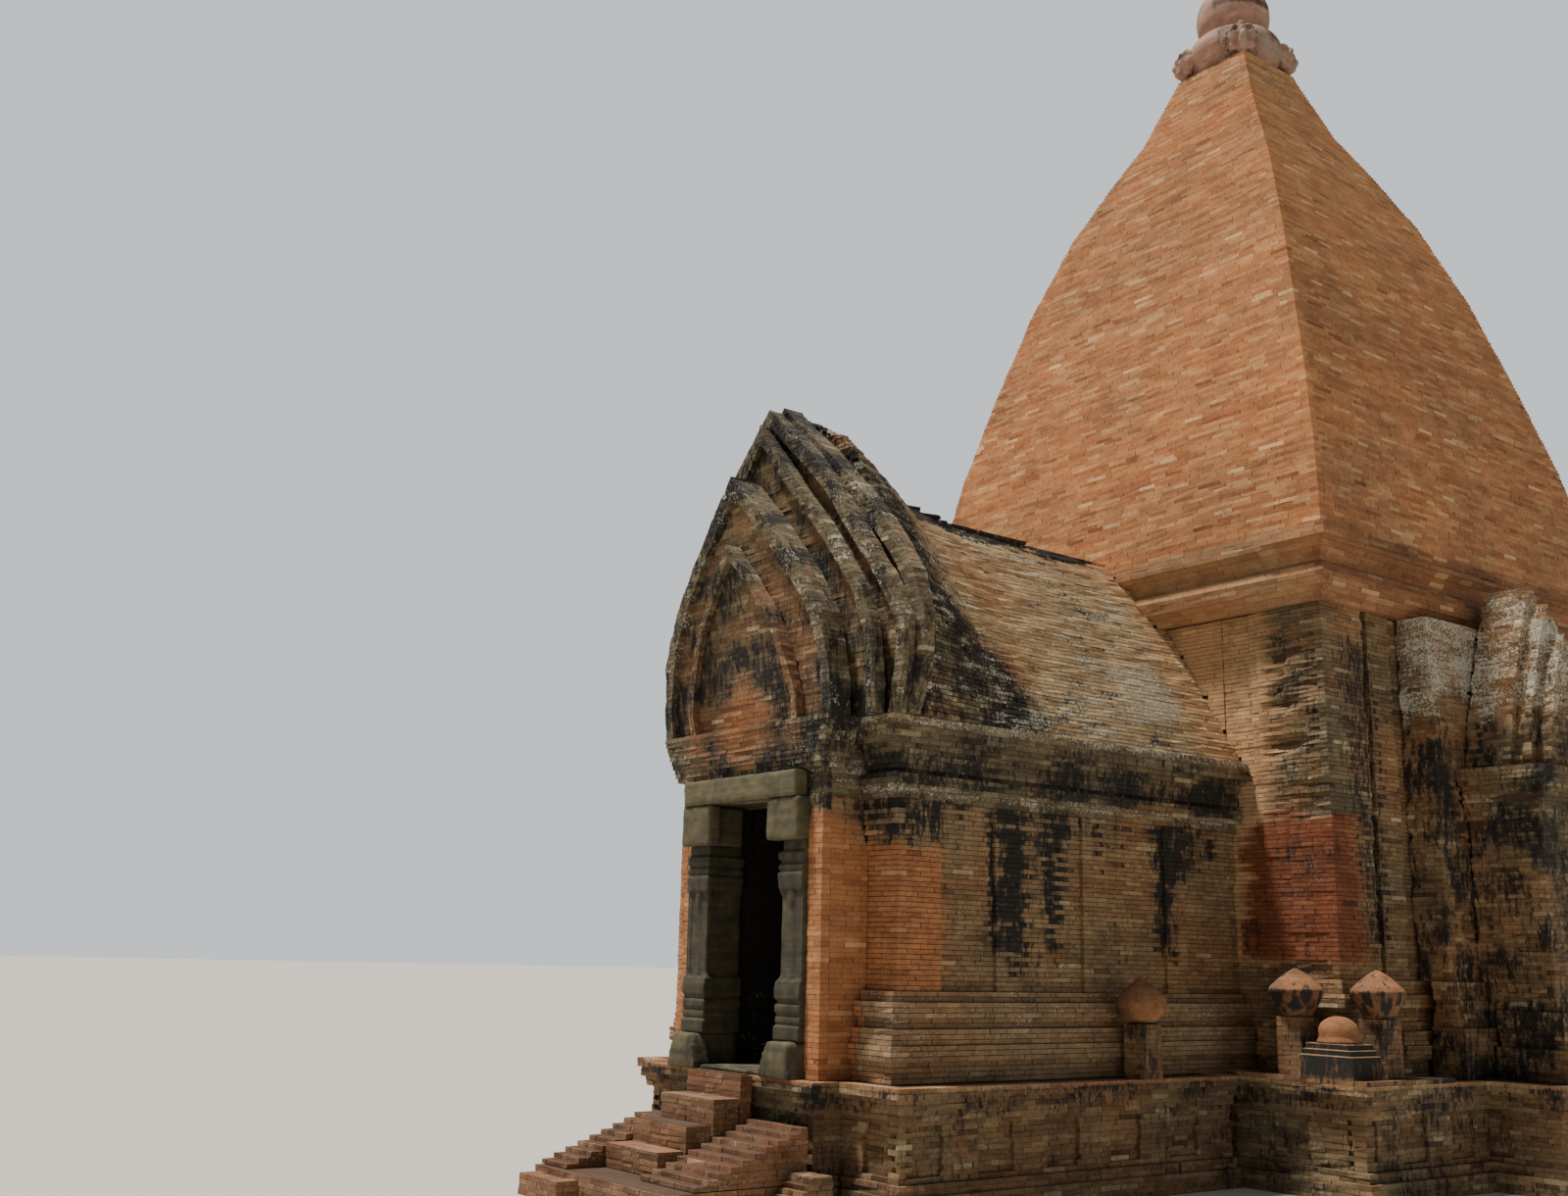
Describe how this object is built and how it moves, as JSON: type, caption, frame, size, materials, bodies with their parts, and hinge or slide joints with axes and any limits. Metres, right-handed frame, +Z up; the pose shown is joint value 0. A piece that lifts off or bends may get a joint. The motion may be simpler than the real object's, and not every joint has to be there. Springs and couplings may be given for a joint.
{
  "type": "hindu temple tower",
  "caption": "Brick temple tower with a curved pyramid roof, a pointed vaulted entrance hall, stone-framed door, plinth and stairs.",
  "frame": {"origin": "on the ground under the middle of the tower", "axes": "+Z up, the door faces -Y, +X to the right of someone who looks along +Y at the door"},
  "size_m": [9.26, 15.49, 17.36],
  "materials": {
    "new_brick": "new orange-red brick laid dry, thin tight joints",
    "old_brick": "old weathered brick, eroded courses, black and grey stains",
    "dark_brick": "old brick blackened by rain and lichen",
    "plinth_brick": "weathered brick mouldings with dark streaks",
    "stair_brick": "red brick, worn edges",
    "door_stone": "grey-brown sandstone, cut and worn",
    "crown_stone": "reddish-brown carved sandstone"
  },
  "bodies": {
    "root": {"portal_wall_left": "new_brick", "portal_wall_right": "new_brick", "tower_wall_front_over": "new_brick", "tower_cornice": "new_brick", "tower_roof_front": "new_brick", "tower_roof_right": "new_brick", "tower_roof_back": "new_brick", "tower_roof_left": "new_brick", "corner_stupas_front_right": "new_brick", "corner_stupas_back_right": "new_brick", "corner_stupas_back_left": "new_brick", "corner_stupas_front_left": "new_brick", "vestibule_bud_left": "new_brick", "vestibule_bud_right": "new_brick", "portal_wall_over": "old_brick", "pediment_1": "old_brick", "pediment_2": "old_brick", "vestibule_wall_left": "old_brick", "vestibule_wall_right": "old_brick", "tower_wall_right": "old_brick", "tower_wall_left": "old_brick", "tower_wall_back": "old_brick", "tower_wall_front_left": "old_brick", "tower_wall_front_right": "old_brick", "pediment_3": "dark_brick", "pediment_4": "dark_brick", "pediment_5": "dark_brick", "vestibule_cornice_left": "dark_brick", "vestibule_cornice_right": "dark_brick", "vestibule_vault": "dark_brick", "false_door_body_right": "dark_brick", "false_door_vault_right": "dark_brick", "false_door_porch_right": "dark_brick", "false_door_body_back": "dark_brick", "false_door_vault_back": "dark_brick", "false_door_porch_back": "dark_brick", "false_door_body_left": "dark_brick", "false_door_vault_left": "dark_brick", "false_door_porch_left": "dark_brick", "tower_plinth": "plinth_brick", "vestibule_plinth": "plinth_brick", "stair_footing_left": "plinth_brick", "stair_footing_right": "plinth_brick", "stair_block_1": "stair_brick", "stair_block_2": "stair_brick", "stair_block_3": "stair_brick", "stair_block_4": "stair_brick", "stair_landing": "stair_brick", "stair_flight_left": "stair_brick", "stair_flight_right": "stair_brick", "door_sill": "door_stone", "door_lintel": "door_stone", "door_base_left": "door_stone", "door_base_right": "door_stone", "door_column_left": "door_stone", "door_column_right": "door_stone", "door_capital_left": "door_stone", "door_capital_right": "door_stone", "crown_ring": "crown_stone", "crown_head": "crown_stone"}
  },
  "joints": []
}
